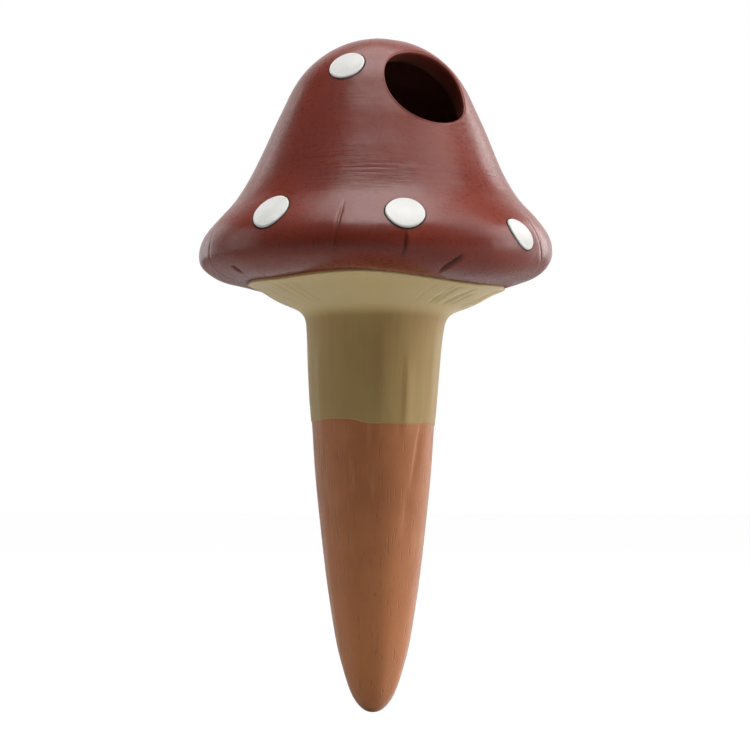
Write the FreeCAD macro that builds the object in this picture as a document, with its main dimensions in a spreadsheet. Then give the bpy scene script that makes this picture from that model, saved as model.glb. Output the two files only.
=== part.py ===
import FreeCAD, Part
import os
import Sketcher

# Self watering spike: a hollow clay mushroom whose closed spike seeps water into the soil.
# Z points up, the origin is on the axis at the soil line, and the fill mouth faces the front right.

# Driving sizes in millimetres and degrees: alias, value, meaning
SIZES = [
    ("brim_radius", 41.7, "axis to the widest line of the brim"),
    ("brim_height", 39.6, "soil line to the widest line of the brim"),
    ("roll_radius", 7.4, "half the thickness of the rolled brim"),
    ("roll_start_angle", 48, "where the flare meets the roll, above its middle"),
    ("flare_radius", 47, "hollow curve between the flank and the roll"),
    ("flare_turn_angle", 17, "how far the flare turns"),
    ("crown_radius", 23.6, "round top of the cap"),
    ("crown_height", 68.3, "soil line to the centre of the round top"),
    ("crown_end_angle", 30, "where the round top meets the flank, above its centre"),
    ("wall", 4.2, "thickness of the cap's wall"),
    ("mouth_radius", 9.8, "bore of the fill mouth"),
    ("mouth_azimuth_angle", 35.5, "fill mouth, turned from the front to the right"),
    ("mouth_rise_angle", 35, "axis of the fill mouth, above level"),
    ("mouth_reach", 21.9, "axis of the cap to the middle of the fill mouth"),
    ("mouth_height", 76.4, "soil line to the middle of the fill mouth"),
    ("lip_width", 1.0, "how far the eased lip opens at the middle of the mouth"),
    ("lip_depth", 3.2, "depth of the eased lip at the middle of the mouth"),
    ("collar_radius", 26.0, "hole in the underside of the cap"),
    ("joint_clearance", 0.2, "slip in the joint between the cap's collar and the spigot"),
    ("spigot_height", 3.4, "spigot above the gill plate"),
    ("plate_radius", 30.5, "outer edge of the gill plate"),
    ("plate_edge", 0.6, "height of the gill plate's outer edge"),
    ("gill_foot_radius", 18.2, "inner end of the gill slope"),
    ("gill_foot_height", 26.0, "soil line to the inner end of the gill slope"),
    ("neck_radius", 16.7, "stem under the gills"),
    ("neck_height", 23.9, "soil line to the top of the stem"),
    ("stem_radius", 14.7, "stem at the soil line"),
    ("spike_depth", 67.7, "soil line to the tip"),
    ("tip_radius", 5.0, "rounded tip"),
    ("tip_start_angle", -20, "where the spike meets the rounded tip, from level"),
    ("well_radius", 7.0, "water channel through the stem"),
    ("well_depth", 45, "soil line to the foot of the water channel"),
    ("dot_radius", 4.3, "raised white dot"),
    ("dot_thickness", 0.35, "height of a dot above the cap"),
    ("overrun", 6.0, "how far a cutting shape runs past what it cuts"),
]

# Spike below the soil line: share of the depth, and share of the radius at the soil line
SPIKE_SHARES = [(0.35, 0.857), (0.62, 0.70), (0.86, 0.495)]

# Short straight steps that follow each round stretch, outside and inside
CROWN_STEPS = 5
INNER_CROWN_STEPS = 2
FLARE_STEPS = 2
INNER_FLARE_STEPS = 1
ROLL_STEPS = 7
TIP_STEPS = 3

# Dots on the rolled brim: azimuth from the front to the right, and rise of the dot's axis above level
BRIM_DOT_ANGLES = [(-36, 45), (9, 34), (50, 14), (97, 31), (146, 20), (193, 40), (247, 27)]

# Dots on the round top: azimuth from the front to the right, and rise of the dot's axis above level
CROWN_DOT_ANGLES = [(-20, 32), (156, 38)]

doc = FreeCAD.newDocument("watering_spike")


def make_sheet():
    """Sheet of the driving sizes, one alias to a row."""
    sheet = doc.addObject("Spreadsheet::Sheet", "Sizes")
    for row, (alias, value, meaning) in enumerate(SIZES, start=1):
        sheet.set("A%d" % row, alias)
        sheet.set("B%d" % row, str(value))
        sheet.set("C%d" % row, meaning)
        sheet.setAlias("B%d" % row, alias)
    doc.recompute()


class Term:
    """Expression over the sheet's sizes, written with plain arithmetic."""

    def __init__(self, text):
        self.text = str(text)

    def __str__(self):
        return self.text

    def __add__(self, other):
        return Term("(%s + %s)" % (self, other))

    def __sub__(self, other):
        return Term("(%s - %s)" % (self, other))

    def __mul__(self, other):
        return Term("(%s * %s)" % (self, other))

    def __truediv__(self, other):
        return Term("(%s / %s)" % (self, other))

    def __neg__(self):
        return Term("(0 - %s)" % self)


def size(alias):
    return Term("Sizes.%s" % alias)


def cosine(angle):
    return Term("cos(%s * 1 deg)" % angle)


def sine(angle):
    return Term("sin(%s * 1 deg)" % angle)


ZERO = Term(0)
QUARTER_TURN = Term(90)

# A sketch's own numbers for its origin, its upright axis, and the two ends of a side
ORIGIN, UPRIGHT_AXIS = -1, -2
START, END = 1, 2


def on_circle(centre, radius, angle):
    """Point on a circle of the section, at an angle above level: distance from the axis, height."""
    return centre[0] + radius * cosine(angle), centre[1] + radius * sine(angle)


def round_stretch(centre, radius, start, end, steps):
    """Points that follow a circle of the section in even steps, with both ends."""
    angles = [start + (end - start) * (step / steps) for step in range(steps + 1)]
    return [on_circle(centre, radius, angle) for angle in angles]


def along(origin, rise, forward, upward):
    """Point of the section that lies forward along a rising axis and upward square to it."""
    return (
        origin[0] + forward * cosine(rise) - upward * sine(rise),
        origin[1] + forward * sine(rise) + upward * cosine(rise),
    )


def new_body(label):
    body = doc.addObject("PartDesign::Body", label)
    body.Label = label
    return body


def upright_sketch(body, name):
    """Empty sketch on the body's upright plane: its X is the distance from the axis, its Y the height."""
    sketch = body.newObject("Sketcher::SketchObject", name)
    plane = [item for item in body.Origin.OriginFeatures if item.Role == "XZ_Plane"][0]
    sketch.AttachmentSupport = [(plane, "")]
    sketch.MapMode = "FlatFace"
    return sketch


def value_of(sketch, term):
    return float(sketch.evalExpression(str(term)))


def hold(sketch, kind, name, side, term):
    """One named distance from the origin to the start of a side, bound to the sheet."""
    distance = Sketcher.Constraint(kind, ORIGIN, START, side, START, value_of(sketch, term))
    sketch.renameConstraint(sketch.addConstraint(distance), name)
    sketch.setExpression("Constraints." + name, str(term))


def pin(sketch, side, point):
    """Hold the start of a side at a point whose distances follow the sheet."""
    if str(point[0]) == str(ZERO):
        sketch.addConstraint(Sketcher.Constraint("PointOnObject", side, START, UPRIGHT_AXIS))
    else:
        hold(sketch, "DistanceX", "x%d" % side, side, point[0])
    hold(sketch, "DistanceY", "y%d" % side, side, point[1])


def draw_outline(sketch, points):
    """Closed outline of straight sides, each corner held at its point."""
    places = [FreeCAD.Vector(value_of(sketch, point[0]), value_of(sketch, point[1]), 0) for point in points]
    for place, after in zip(places, places[1:] + places[:1]):
        sketch.addGeometry(Part.LineSegment(place, after))
    for number, point in enumerate(points):
        before = (number - 1) % len(points)
        sketch.addConstraint(Sketcher.Constraint("Coincident", before, END, number, START))
        pin(sketch, number, point)


def turned(body, name, points):
    """Solid turned about the upright axis from a closed outline."""
    sketch = upright_sketch(body, name + "_outline")
    draw_outline(sketch, points)
    doc.recompute()
    turn = body.newObject("PartDesign::Revolution", name)
    turn.Profile = sketch
    turn.ReferenceAxis = (sketch, ["V_Axis"])
    turn.Angle = 360
    doc.recompute()


def bored(body, name, azimuth, points):
    """Round cut turned about the closing side of an outline, on an upright plane at an azimuth."""
    sketch = upright_sketch(body, name + "_outline")
    upright = FreeCAD.Rotation(FreeCAD.Vector(0, 1, 0), 0)
    sketch.AttachmentOffset = FreeCAD.Placement(FreeCAD.Vector(), upright)
    sketch.setExpression("AttachmentOffset.Rotation.Angle", str(azimuth - QUARTER_TURN))
    doc.recompute()
    draw_outline(sketch, points)
    last = len(points) - 1
    side = sketch.Geometry[last]
    axis = sketch.addGeometry(Part.LineSegment(side.StartPoint, side.EndPoint), True)
    for end in (START, END):
        sketch.addConstraint(Sketcher.Constraint("Coincident", axis, end, last, end))
    doc.recompute()
    before = body.Tip.Shape.Volume
    cut = body.newObject("PartDesign::Groove", name)
    cut.Profile = sketch
    cut.ReferenceAxis = (sketch, ["Axis0"])
    cut.Angle = 360
    doc.recompute()
    if not cut.Shape.Volume < before:
        raise RuntimeError(name + " cuts nothing")


def roll_centre():
    """Middle of the rolled brim in the section."""
    return size("brim_radius") - size("roll_radius"), size("brim_height")


def bell_points(inset, crown_steps, flare_steps):
    """Outline of the cap from its top down to the rolled brim, set in from the outside."""
    crown = (ZERO, size("crown_height"))
    crown_radius = size("crown_radius") - inset
    points = round_stretch(crown, crown_radius, QUARTER_TURN, size("crown_end_angle"), crown_steps)
    points[0] = (ZERO, crown[1] + crown_radius)
    meeting = size("roll_start_angle")
    flare_centre = on_circle(roll_centre(), size("roll_radius") + size("flare_radius"), meeting)
    flare_end = meeting + QUARTER_TURN * 2
    flare_start = flare_end - size("flare_turn_angle")
    flare_radius = size("flare_radius") + inset
    return points + round_stretch(flare_centre, flare_radius, flare_start, flare_end, flare_steps)


def outside_points(inset):
    """Outline of the cap's outside from its top to the underside of the brim."""
    roll_radius = size("roll_radius") - inset
    roll = round_stretch(roll_centre(), roll_radius, size("roll_start_angle"), -QUARTER_TURN, ROLL_STEPS)
    return bell_points(inset, CROWN_STEPS, FLARE_STEPS)[:-1] + roll


def underside():
    """Height of the cap's flat underside, which the gill plate carries."""
    return size("brim_height") - size("roll_radius")


def cap_shell():
    """Hollow bell: round top, flank, flare and rolled brim, with the fill mouth through its slope."""
    wall = size("wall")
    floor = underside() + wall
    collar = [(size("collar_radius"), underside()), (size("collar_radius"), floor)]
    inside = bell_points(wall, INNER_CROWN_STEPS, INNER_FLARE_STEPS)
    inside[-1] = (size("brim_radius") - wall, floor)
    body = new_body("cap_shell")
    turned(body, "bell", outside_points(ZERO) + collar + inside[::-1])

    middle = (size("mouth_reach"), size("mouth_height"))
    bore = size("mouth_radius")
    inner_end = -(wall + bore)
    outer_end = size("overrun")
    widest = bore + size("lip_width") * (outer_end / size("lip_depth") + 1)
    corners = [(inner_end, ZERO), (inner_end, bore), (-size("lip_depth"), bore), (outer_end, widest),
               (outer_end, ZERO)]
    outline = [along(middle, size("mouth_rise_angle"), *corner) for corner in corners]
    bored(body, "mouth", size("mouth_azimuth_angle"), outline)
    return body


def stem_spike():
    """One hollow casting: gill plate with its spigot, stem, and closed spike with a water channel."""
    depth = size("spike_depth")
    tip_centre = (ZERO, size("tip_radius") - depth)
    tip = round_stretch(tip_centre, size("tip_radius"), size("tip_start_angle"), -QUARTER_TURN, TIP_STEPS)
    tip[-1] = (ZERO, -depth)
    spigot_radius = size("collar_radius") - size("joint_clearance")
    top = underside() + size("spigot_height")
    outside = [
        (spigot_radius, top),
        (spigot_radius, underside()),
        (size("plate_radius"), underside()),
        (size("plate_radius"), underside() - size("plate_edge")),
        (size("gill_foot_radius"), size("gill_foot_height")),
        (size("neck_radius"), size("neck_height")),
    ]
    outside += [(size("stem_radius") * wide, -depth * deep) for deep, wide in SPIKE_SHARES]
    well_foot = -size("well_depth")
    well = [(ZERO, well_foot), (size("well_radius"), well_foot), (size("well_radius"), top)]
    body = new_body("stem_spike")
    turned(body, "casting", outside + tip + well)
    return body


def dot_post(name, centre, radius, azimuth, rise):
    """Round post from the middle of a round stretch of the cap out through its skin."""
    post = doc.addObject("Part::Cylinder", name)
    post.setExpression("Radius", str(size("dot_radius")))
    post.setExpression("Height", str(radius + size("overrun")))
    place = (centre[0] * sine(azimuth), -(centre[0] * cosine(azimuth)), centre[1])
    turn = (azimuth - QUARTER_TURN, QUARTER_TURN - rise, ZERO)
    form = "create(<<placement>>; create(<<vector>>; %s; %s; %s); create(<<rotation>>; %s; %s; %s))"
    post.setExpression("Placement", form % (place + turn))
    return post


def white_dots():
    """Raised dabs of white: the parts of a thin skin on the cap that lie inside round posts."""
    skin = new_body("dot_skin")
    lifted = outside_points(-size("dot_thickness"))
    turned(skin, "skin", lifted + outside_points(ZERO)[::-1])
    crown = (ZERO, size("crown_height"))
    stretches = [(roll_centre(), size("roll_radius"), BRIM_DOT_ANGLES),
                 (crown, size("crown_radius"), CROWN_DOT_ANGLES)]
    places = [(centre, radius, Term(azimuth), Term(rise)) for centre, radius, dots in stretches
              for azimuth, rise in dots]
    posts = doc.addObject("Part::MultiFuse", "dot_posts")
    posts.Shapes = [dot_post("dot_post_%d" % number, *place) for number, place in enumerate(places, start=1)]
    dots = doc.addObject("Part::Common", "white_dots")
    dots.Label = "white_dots"
    dots.Base = skin
    dots.Tool = posts
    return dots


def check(pieces):
    """Stop if any object of the document failed or a piece isn't a sound solid."""
    for item in doc.Objects:
        if "Invalid" in item.State or "Error" in item.State:
            raise RuntimeError("%s failed: %s" % (item.Name, item.State))
    for piece in pieces:
        if piece.Shape.isNull() or not piece.Shape.isValid() or not piece.Shape.Solids:
            raise RuntimeError(piece.Label + " is not a sound solid")


def write(pieces):
    """One file to each piece, named after it."""
    os.makedirs("parts", exist_ok=True)
    for piece in pieces:
        piece.Shape.exportStep("parts/%s.step" % piece.Label)
        print(piece.Label, "solids", len(piece.Shape.Solids), "volume", round(piece.Shape.Volume))


make_sheet()
sub_parts = [cap_shell(), stem_spike(), white_dots()]
doc.recompute()
check(sub_parts)
write(sub_parts)
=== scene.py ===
"""Looks of a hollow clay mushroom watering spike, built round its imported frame."""
import logging
import math
from dataclasses import dataclass, field
from enum import Enum

import bpy
import numpy as np
from mathutils import Matrix, Vector


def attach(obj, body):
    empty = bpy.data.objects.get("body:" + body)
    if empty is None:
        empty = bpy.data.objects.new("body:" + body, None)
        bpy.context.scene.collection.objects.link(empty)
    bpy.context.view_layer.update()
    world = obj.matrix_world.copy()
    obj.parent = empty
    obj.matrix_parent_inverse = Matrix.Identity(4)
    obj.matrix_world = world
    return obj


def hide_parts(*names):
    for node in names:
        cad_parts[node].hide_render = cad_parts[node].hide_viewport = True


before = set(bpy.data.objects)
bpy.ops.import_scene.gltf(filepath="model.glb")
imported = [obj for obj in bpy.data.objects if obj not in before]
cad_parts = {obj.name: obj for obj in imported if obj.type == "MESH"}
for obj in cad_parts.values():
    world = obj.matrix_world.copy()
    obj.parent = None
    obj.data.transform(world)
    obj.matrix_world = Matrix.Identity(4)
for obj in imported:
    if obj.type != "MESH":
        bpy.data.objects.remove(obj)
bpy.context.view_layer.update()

LOG = logging.getLogger("watering_spike")
MM = 0.001
BODY = "root"
FULL_TURN = 2.0 * math.pi
WHITE = (1.0, 1.0, 1.0, 1.0)

Pair = tuple[float, float]
Triple = tuple[float, float, float]
Table = tuple[tuple[float, ...], ...]
Array = np.ndarray
Spots = np.ndarray
Piece = bpy.types.Object
Socket = bpy.types.NodeSocket
Material = bpy.types.Material


class Slot(Enum):
    """Material slots of the record."""

    CAP = "cap_finish"
    CLAY = "bare_clay"
    KHAKI = "khaki_coat"
    DOTS = "dot_finish"


class Ray(Enum):
    """Kinds of ray that a stage material tells apart."""

    CAMERA = "Is Camera Ray"
    GLOSSY = "Is Glossy Ray"
    THROUGH = "Is Transmission Ray"


# Shared shapes and sums


def eased(value: Array, low: float, high: float) -> Array:
    """Smooth step from nothing at low to one at high, which may lie above or below low."""
    share = np.clip((value - low) / (high - low), 0.0, 1.0)
    return share * share * (3.0 - 2.0 * share)


def spanned(height: Array, low: float, high: float, fade_share: float) -> Array:
    """Share that is one from low to high and fades out at both, over a share of the span."""
    fade = fade_share * (high - low)
    return eased(height, low - fade, low + fade) * eased(height, high + fade, high - fade)


def turned_by(azimuth: Array, middle: Array | float) -> Array:
    """Shortest turn from a middle azimuth, in radians."""
    return (azimuth - middle + math.pi) % FULL_TURN - math.pi


def hill(azimuth: Array, middle: float, width: float) -> Array:
    """Hill as high as one at a middle azimuth, with its middle and width in degrees."""
    return np.exp(-((turned_by(azimuth, math.radians(middle)) / math.radians(width)) ** 2))


def shares(count: int, first: int = 1) -> list[float]:
    """Even shares of a whole, from a first step to the last."""
    return [step / count for step in range(first, count + 1)]


def round_places(azimuth: Array, out: Array | float, height: Array | float) -> Spots:
    """Places from their azimuths, distances from the axis and heights, one to a row."""
    heights = np.broadcast_to(height, azimuth.shape)
    return np.column_stack([out * np.sin(azimuth), -out * np.cos(azimuth), heights])


def travels_along(points: Spots) -> Array:
    """Length of a line of points from its start to each of them."""
    return np.concatenate([[0.0], np.cumsum(np.hypot(*np.diff(points, axis=0).T))])


def smooth_line(knots: list[Pair], steps: int, finer: int = 6) -> Spots:
    """Cubic line through knots, in even steps of its length.

    Args:
        knots: distance from the axis and height of each knot, in millimetres.
        steps: how many stretches the line gets.
        finer: how many times finer the line is measured than it is kept.

    Returns:
        Points of the line in metres, one to a row.
    """
    points = np.array(knots, float) * MM
    travel = travels_along(points)
    gaps = np.diff(travel)
    slopes = np.diff(points, axis=0) / gaps[:, None]
    count = len(points)
    system, pull = np.eye(count), np.zeros((count, 2))
    for row in range(1, count - 1):
        before, after = gaps[row - 1 : row + 1]
        system[row, row - 1 : row + 2] = before, 2.0 * (before + after), after
        pull[row] = 6.0 * (slopes[row] - slopes[row - 1])
    bend = np.linalg.solve(system, pull)
    fine = np.linspace(0.0, travel[-1], finer * steps + 1)
    part = np.clip(np.searchsorted(travel, fine, side="right") - 1, 0, count - 2)
    gap = gaps[part][:, None]
    ahead = (travel[part + 1] - fine)[:, None]
    behind = (fine - travel[part])[:, None]
    line = (
        bend[part] * ahead**3 / (6.0 * gap)
        + bend[part + 1] * behind**3 / (6.0 * gap)
        + (points[part] / gap - bend[part] * gap / 6.0) * ahead
        + (points[part + 1] / gap - bend[part + 1] * gap / 6.0) * behind
    )
    length = travels_along(line)
    even = np.linspace(0.0, length[-1], steps + 1)
    return np.column_stack([np.interp(even, length, column) for column in line.T])


class Section:
    """Line of a turned surface in its section, read by the length from its top."""

    def __init__(self, knots: list[Pair], steps: int = 400) -> None:
        """Lay the line through its knots.

        Args:
            knots: distance from the axis and height of each knot, in millimetres.
            steps: how finely the line is kept.
        """
        self.points = smooth_line(knots, steps)
        self.travel = travels_along(self.points)
        self.length = float(self.travel[-1])
        moves = np.gradient(self.points, axis=0)
        lengths = np.hypot(*moves.T)
        self.columns = (*self.points.T, -moves[:, 1] / lengths, moves[:, 0] / lengths)

    def at(self, travel: Array) -> tuple[Array, ...]:
        """Distance from the axis, height and outward direction at lengths from the top."""
        return tuple(np.interp(travel, self.travel, column) for column in self.columns)

    def travel_at_height(self, height: float) -> float:
        """Length from the top to the first place at a height, both in metres."""
        return float(self.travel[np.argmax(self.points[:, 1] <= height)])


def linked(name: str, data: bpy.types.ID) -> Piece:
    """Put new data in the scene.

    Args:
        name: the object's name.
        data: its mesh, camera or lamp.

    Returns:
        The new object.
    """
    piece = bpy.data.objects.new(name, data)
    bpy.context.scene.collection.objects.link(piece)
    return piece


def mesh_of_rows(name: str, rows: list[Spots], round_again: bool, poles: bool = False) -> Piece:
    """Object from rings of points that follow each other.

    Args:
        name: the piece's name.
        rows: rings of points, each with the same number of points.
        round_again: the last ring joins the first.
        poles: a single point closes each end, at the middle of the end ring.

    Returns:
        The new object, with smooth faces that point outwards.
    """
    count, last = len(rows[0]), len(rows) - 1
    points = np.concatenate(rows)
    here = np.arange(count)
    after = (here + 1) % count
    faces: list[list[int]] = []
    for upper in range(last + round_again):
        top, foot = upper * count, (upper + 1) % len(rows) * count
        faces += np.column_stack([top + here, foot + here, foot + after, top + after]).tolist()
    if poles:
        for row, one, other in ((0, here, after), (last, after, here)):
            middle = np.full(count, len(points))
            points = np.vstack([points, rows[row].mean(axis=0)])
            faces += np.column_stack([one + row * count, other + row * count, middle]).tolist()
    mesh = bpy.data.meshes.new(name)
    mesh.from_pydata(points.tolist(), [], faces)
    mesh.update()
    if signed_volume(mesh) < 0.0:
        mesh.flip_normals()
    mesh.polygons.foreach_set("use_smooth", [True] * len(mesh.polygons))
    return linked(name, mesh)


def places_of(mesh: bpy.types.Mesh) -> Spots:
    """Read a mesh's points.

    Args:
        mesh: the mesh.

    Returns:
        Places, one to a row.
    """
    places = np.zeros(len(mesh.vertices) * 3)
    mesh.vertices.foreach_get("co", places)
    return places.reshape(-1, 3)


def signed_volume(mesh: bpy.types.Mesh) -> float:
    """Work out the volume of a closed mesh.

    Args:
        mesh: the closed mesh.

    Returns:
        The volume, below zero where the faces point inwards.
    """
    mesh.calc_loop_triangles()
    corners = np.zeros(len(mesh.loop_triangles) * 3, np.int32)
    mesh.loop_triangles.foreach_get("vertices", corners)
    a, b, c = places_of(mesh)[corners.reshape(-1, 3)].transpose(1, 0, 2)
    return float(np.einsum("ij,ij->i", a, np.cross(b, c)).sum() / 6.0)


def mark(piece: Piece, name: str, values: Array) -> None:
    """Give a piece one number, by name, at each of its points."""
    attribute = piece.data.attributes.new(name, "FLOAT", "POINT")
    attribute.data.foreach_set("value", np.asarray(values, np.float32))


@dataclass(frozen=True)
class Skin:
    """Points of a turned skin: azimuths in radians, heights, and distances from the axis."""

    azimuth: Array
    height: Array
    out: Array


@dataclass(frozen=True)
class Ripple:
    """Faint wave round a turned skin: waves to a turn, depth, phase, and turn with height."""

    count: float
    depth: float
    phase: float = 0.0
    climb: float = 0.0

    def at(self, skin: Skin) -> Array:
        """Movement outwards in metres."""
        turn = self.count * skin.azimuth + self.phase + self.climb * skin.height
        return self.depth * np.sin(turn)


@dataclass(frozen=True)
class Lean:
    """Slight lean of the cap, and the warp of the rim where the cap and the plate meet."""

    angle: float = 0.85
    pivot_height: float = -0.010
    heights: Pair = (0.004, 0.030)
    rim_outs: Pair = (0.022, 0.030)
    rim_starts: Pair = (0.025, 0.030)
    rim_ends: Pair = (0.0405, 0.0340)
    # Middle and width in degrees, and rise in millimetres
    rim_waves: tuple[Triple, ...] = (
        (-5.0, 18.0, 0.35), (42.0, 28.0, -1.25), (-47.0, 20.0, -0.65),
        (112.0, 20.0, 0.9), (-112.0, 20.0, 0.9),
    )

    def rim_rise(self, points: Spots) -> Array:
        """Work out how far the warp lifts points near the rim.

        Args:
            points: places in the upright frame, one to a row.

        Returns:
            Movement upwards in metres.
        """
        azimuth = np.arctan2(points[:, 0], -points[:, 1])
        near = eased(np.hypot(points[:, 0], points[:, 1]), *self.rim_outs)
        near = near * eased(points[:, 2], *self.rim_starts) * eased(points[:, 2], *self.rim_ends)
        return near * sum(rise * MM * hill(azimuth, *place) for *place, rise in self.rim_waves)

    def applied(self, points: Spots) -> Spots:
        """Lean points of the upright shape.

        Args:
            points: places in the upright frame, one to a row.

        Returns:
            The leaned places.
        """
        points = points + np.outer(self.rim_rise(points), (0.0, 0.0, 1.0))
        turn = math.radians(self.angle) * eased(points[:, 2], *self.heights)
        rise = points[:, 2] - self.pivot_height
        across = points[:, 0] * np.cos(turn) + rise * np.sin(turn)
        up = self.pivot_height + rise * np.cos(turn) - points[:, 0] * np.sin(turn)
        return np.column_stack([across, points[:, 1], up])

    def bend(self, piece: Piece) -> None:
        """Lean a finished piece in its mesh."""
        piece.data.vertices.foreach_set("co", self.applied(places_of(piece.data)).ravel())
        piece.data.update()


# Node trees


@dataclass(frozen=True)
class Pattern:
    """Soft random pattern, with its waves to a metre, and the smooth change it is read by.

    The reading takes its first two numbers to nothing and one, or to the two that follow.
    """

    scale: float
    detail: float = 2.0
    roughness: float = 0.5
    reading: tuple[float, ...] = (0.3, 0.7)
    stretch: Triple | None = None
    turn: Triple = (0.0, 0.0, 0.0)


class NodeBook:
    """Short way to write a node tree."""

    def __init__(self, tree: bpy.types.NodeTree) -> None:
        """Keep the tree that the nodes go in."""
        self.tree = tree

    def put(self, socket: Socket, value: object) -> None:
        """Link an output to a socket, or set the socket's own constant.

        Args:
            socket: the input.
            value: a constant, or another node's output.
        """
        if isinstance(value, Socket):
            self.tree.links.new(value, socket)
        else:
            socket.default_value = value

    def node(self, kind: str, inputs: dict | None = None, **settings: object) -> bpy.types.Node:
        """Add a node.

        Args:
            kind: the node's type.
            inputs: its inputs by name or number, each a constant or another node's output.
            settings: the node's own settings.

        Returns:
            The new node.
        """
        made = self.tree.nodes.new(kind)
        for name, value in settings.items():
            setattr(made, name, value)
        for key, value in (inputs or {}).items():
            self.put(made.inputs[key], value)
        return made

    def sum(self, operation: str, first: object, second: object = 0.0,
            clamp: bool = False) -> Socket:
        """Result of a Math node on one or two numbers or outputs."""
        inputs = {0: first, 1: second}
        return self.node("ShaderNodeMath", inputs, operation=operation, use_clamp=clamp).outputs[0]

    def product(self, first: object, second: object) -> Socket:
        """Multiply two numbers or outputs."""
        return self.sum("MULTIPLY", first, second)

    def vector(self, operation: str, first: object, second: object = (0.0, 0.0, 0.0)) -> Socket:
        """Result of a Vector Math node on a vector and another vector, or a scale."""
        inputs = {0: first, ("Scale" if operation == "SCALE" else 1): second}
        return self.node("ShaderNodeVectorMath", inputs, operation=operation).outputs[0]

    def parts(self, vector: Socket) -> bpy.types.bpy_prop_collection:
        """Outputs for the three parts of a vector."""
        return self.node("ShaderNodeSeparateXYZ", {0: vector}).outputs

    def ramp(self, value: Socket, low: object, high: object, to_low: float = 0.0,
             to_high: float = 1.0) -> Socket:
        """Smooth change of a number from one range to another.

        Args:
            value: the number.
            low: where the change starts.
            high: where the change ends.
            to_low: result at low and before it.
            to_high: result at high and after it.

        Returns:
            The result's output.
        """
        names = "Value", "From Min", "From Max", "To Min", "To Max"
        inputs = dict(zip(names, (value, low, high, to_low, to_high)))
        return self.node("ShaderNodeMapRange", inputs, interpolation_type="SMOOTHSTEP").outputs[0]

    def noise(self, place: Socket, pattern: Pattern) -> Socket:
        """Plain values of a soft random pattern.

        Args:
            place: the coordinates.
            pattern: the pattern.

        Returns:
            The pattern's output.
        """
        if pattern.stretch:
            inputs = {"Vector": place, "Scale": pattern.stretch, "Rotation": pattern.turn}
            place = self.node("ShaderNodeMapping", inputs).outputs[0]
        inputs = {
            "Vector": place, "Scale": pattern.scale, "Detail": pattern.detail,
            "Roughness": pattern.roughness,
        }
        return self.node("ShaderNodeTexNoise", inputs).outputs[0]

    def cloud(self, place: Socket, pattern: Pattern) -> Socket:
        """Soft random pattern, read by its smooth change."""
        return self.ramp(self.noise(place, pattern), *pattern.reading)

    def seeded(self, place: Socket, seed: Socket, scale: object,
               detail: float = 0.0) -> bpy.types.Node:
        """Node of a random pattern that a seed changes, by its waves to a unit."""
        inputs = {"Vector": place, "W": seed, "Scale": scale, "Detail": detail}
        return self.node("ShaderNodeTexNoise", inputs, noise_dimensions="4D")

    def specks(self, place: Socket, scale: float, near: Pair) -> tuple[Socket, Socket]:
        """Small round specks.

        Args:
            place: the coordinates.
            scale: how many cells there are to a metre, with one speck in each.
            near: where a speck starts and stops fading, as shares of a cell.

        Returns:
            Outputs for the cover of the specks, and for a random number of each speck.
        """
        cells = self.node("ShaderNodeTexVoronoi", {"Vector": place, "Scale": scale}).outputs
        chosen = self.node("ShaderNodeSeparateColor", {0: cells["Color"]}).outputs[0]
        return self.ramp(cells["Distance"], *near, 1.0, 0.0), chosen

    def mixed(self, share: object, first: object, second: object) -> Socket:
        """Mix of two colours or outputs, by the share of the second."""
        inputs = {0: share, 6: first, 7: second}
        return self.node("ShaderNodeMix", inputs, data_type="RGBA").outputs[2]

    def bumps(self, *layers: tuple[Socket, float, float]) -> Socket:
        """Bumps from height patterns that lie on each other.

        Args:
            layers: each pattern with the height of a full step in metres and its strength.

        Returns:
            The normal's output.
        """
        normal = None
        for height, depth, strength in layers:
            inputs = {"Strength": strength, "Distance": depth, "Height": height}
            if normal is not None:
                inputs["Normal"] = normal
            normal = self.node("ShaderNodeBump", inputs).outputs[0]
        return normal

    def attribute(self, name: str) -> Socket:
        """Number that the mesh holds under a name."""
        return self.node("ShaderNodeAttribute", attribute_name=name).outputs["Fac"]

    def stored(self, name: str, kind: str = "FLOAT_VECTOR") -> Socket:
        """Value that the geometry holds under a name."""
        inputs = {"Name": name}
        return self.node("GeometryNodeInputNamedAttribute", inputs, data_type=kind).outputs[0]


def rgba(colour: Triple) -> tuple[float, float, float, float]:
    """Linear colour with full cover."""
    return (*colour, 1.0)


class Surface:
    """New material with its node book, and the object coordinates."""

    def __init__(self, name: str) -> None:
        """Start the material.

        Args:
            name: the finish's name.
        """
        self.material = bpy.data.materials.new(name)
        self.material.use_nodes = True
        self.book = NodeBook(self.material.node_tree)
        self.place = self.book.node("ShaderNodeTexCoord").outputs["Object"]

    def layered(self, under: object, *layers: tuple[Socket, Triple]) -> Socket:
        """Lay colours over a base.

        Args:
            under: the base, a colour or an output.
            layers: the cover and the colour of each layer.

        Returns:
            The last layer's output.
        """
        for cover, colour in layers:
            under = self.book.mixed(cover, under, rgba(colour))
        return under

    def finished(self, inputs: dict[str, object]) -> Material:
        """Put outputs and constants on the shader's own sockets.

        Args:
            inputs: the shader's inputs by name.

        Returns:
            The material.
        """
        shader = self.material.node_tree.nodes["Principled BSDF"]
        for name, value in inputs.items():
            self.book.put(shader.inputs[name], value)
        return self.material


# Finishes


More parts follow.
